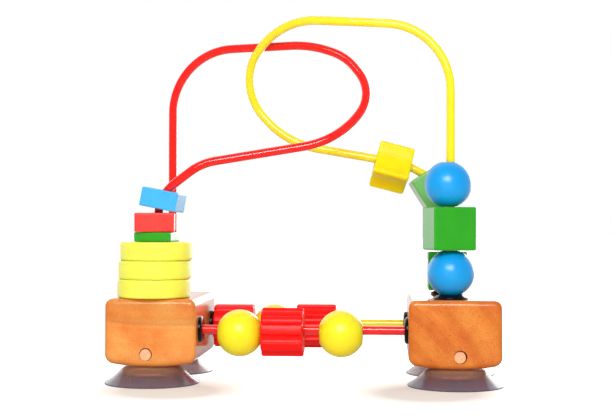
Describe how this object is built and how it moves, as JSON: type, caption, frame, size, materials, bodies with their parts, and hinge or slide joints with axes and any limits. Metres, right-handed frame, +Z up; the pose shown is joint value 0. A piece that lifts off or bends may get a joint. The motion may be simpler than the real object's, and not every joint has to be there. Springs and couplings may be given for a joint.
{
  "type": "suction cup bead maze toy",
  "caption": "Tabletop bead frame: two varnished wooden blocks on suction cups, joined by straight wires, with bent wire loops carrying sliding and turning painted beads.",
  "frame": {"origin": "on the table, midway between the four suction cups", "axes": "+X to the right along the straight wires, +Y to the back, +Z up; the red loop stands on the block at -X and the yellow loop on the block at +X"},
  "size_m": [0.2114, 0.1038, 0.1979],
  "materials": {
    "varnished_wood": "clear gloss varnish over straight-grained orange-brown wood",
    "bare_wood": "bare sawn end grain",
    "clear_vinyl": "soft clear vinyl, slightly smoky",
    "black_plastic": "glossy moulded",
    "red_coating": "glossy plastic coating on steel wire",
    "yellow_coating": "glossy plastic coating on steel wire",
    "yellow_paint": "gloss paint on wood",
    "red_paint": "gloss paint on wood",
    "blue_paint": "gloss paint on wood",
    "green_paint": "gloss paint on wood"
  },
  "bodies": {
    "frame": {"block_left": "varnished_wood", "block_right": "varnished_wood", "cup_front_left": "clear_vinyl", "cup_rear_left": "clear_vinyl", "cup_front_right": "clear_vinyl", "cup_rear_right": "clear_vinyl", "dowel_front_left": "bare_wood", "dowel_rear_left": "bare_wood", "dowel_front_right": "bare_wood", "dowel_rear_right": "bare_wood", "wire_front": "red_coating", "wire_rear": "yellow_coating", "loop_red": "red_coating", "loop_yellow": "yellow_coating", "bush_front_left": "black_plastic", "bush_rear_left": "black_plastic", "bush_front_right": "black_plastic", "bush_rear_right": "black_plastic", "seat_front": "black_plastic", "seat_rear": "black_plastic"},
    "ball_front_left": {"ball_front_left": "yellow_paint"},
    "gear_front": {"gear_front": "red_paint"},
    "ball_front_right": {"ball_front_right": "yellow_paint"},
    "gear_rear_left": {"gear_rear_left": "red_paint"},
    "ball_rear": {"ball_rear": "yellow_paint"},
    "gear_rear_right": {"gear_rear_right": "red_paint"},
    "disc_lower": {"disc_lower": "yellow_paint"},
    "disc_middle": {"disc_middle": "yellow_paint"},
    "disc_upper": {"disc_upper": "yellow_paint"},
    "slab_green": {"slab_green": "green_paint"},
    "slab_red": {"slab_red": "red_paint"},
    "slab_blue": {"slab_blue": "blue_paint"},
    "ball_blue_lower": {"ball_blue_lower": "blue_paint"},
    "cube_front": {"cube_front": "green_paint"},
    "ball_blue_upper": {"ball_blue_upper": "blue_paint"},
    "cube_rear": {"cube_rear": "green_paint"},
    "ball_blue_rear": {"ball_blue_rear": "blue_paint"},
    "cube_tilted": {"cube_tilted": "green_paint"},
    "lobed_bead": {"lobed_bead": "yellow_paint"}
  },
  "joints": [
    {"name": "ball_front_left_slide", "type": "slide", "parent": "frame", "child": "ball_front_left", "axis": [1, 0, 0], "range_m": [-0.0077, 0]},
    {"name": "gear_front_slide", "type": "slide", "parent": "frame", "child": "gear_front", "axis": [1, 0, 0], "range_m": [0, 0.0079]},
    {"name": "ball_front_right_slide", "type": "slide", "parent": "frame", "child": "ball_front_right", "axis": [1, 0, 0], "range_m": [0, 0.0213]},
    {"name": "gear_rear_left_slide", "type": "slide", "parent": "frame", "child": "gear_rear_left", "axis": [1, 0, 0], "range_m": [0, 0.012]},
    {"name": "ball_rear_slide", "type": "slide", "parent": "gear_rear_left", "child": "ball_rear", "axis": [1, 0, 0], "range_m": [0, 0.012]},
    {"name": "gear_rear_right_slide", "type": "slide", "parent": "ball_rear", "child": "gear_rear_right", "axis": [1, 0, 0], "range_m": [0, 0.0125]},
    {"name": "disc_lower_spin", "type": "hinge", "parent": "frame", "child": "disc_lower", "pos_m": [-0.08055, -0.022, 0.05], "axis": [0, 0, 1], "continuous": true},
    {"name": "disc_middle_spin", "type": "hinge", "parent": "frame", "child": "disc_middle", "pos_m": [-0.08005, -0.022, 0.06], "axis": [0, 0, 1], "continuous": true},
    {"name": "disc_upper_spin", "type": "hinge", "parent": "frame", "child": "disc_upper", "pos_m": [-0.0792, -0.022, 0.07], "axis": [0, 0, 1], "continuous": true},
    {"name": "slab_green_spin", "type": "hinge", "parent": "frame", "child": "slab_green", "pos_m": [-0.07905, -0.022, 0.078], "axis": [0, 0, 1], "continuous": true},
    {"name": "slab_red_spin", "type": "hinge", "parent": "frame", "child": "slab_red", "pos_m": [-0.08005, -0.022, 0.085], "axis": [0, 0, 1], "continuous": true},
    {"name": "slab_blue_climb", "type": "hinge", "parent": "frame", "child": "slab_blue", "pos_m": [-0.05625, -0.022, 0.0889], "axis": [0, 1, 0], "range_deg": [0, 28]},
    {"name": "ball_blue_lower_lift", "type": "slide", "parent": "frame", "child": "ball_blue_lower", "axis": [0, 0, 1], "range_m": [0, 0.012]},
    {"name": "cube_front_lift", "type": "slide", "parent": "ball_blue_lower", "child": "cube_front", "axis": [0, 0, 1], "range_m": [0, 0.012]},
    {"name": "ball_blue_upper_lift", "type": "slide", "parent": "cube_front", "child": "ball_blue_upper", "axis": [0, 0, 1], "range_m": [0, 0.012]},
    {"name": "cube_rear_spin", "type": "hinge", "parent": "frame", "child": "cube_rear", "pos_m": [0.07825, 0.022, 0.06], "axis": [0, 0, 1], "continuous": true},
    {"name": "ball_blue_rear_spin", "type": "hinge", "parent": "frame", "child": "ball_blue_rear", "pos_m": [0.07975, 0.022, 0.082], "axis": [0, 0, 1], "continuous": true},
    {"name": "cube_tilted_climb", "type": "hinge", "parent": "frame", "child": "cube_tilted", "pos_m": [0.05225, 0.022, 0.09064], "axis": [0, -1, 0], "range_deg": [0, 5.5]},
    {"name": "lobed_bead_travel", "type": "hinge", "parent": "frame", "child": "lobed_bead", "pos_m": [0.00228, 0.01883, -0.05736], "axis": [0.061, -0.9981, 0], "range_deg": [0, 7.6]}
  ]
}
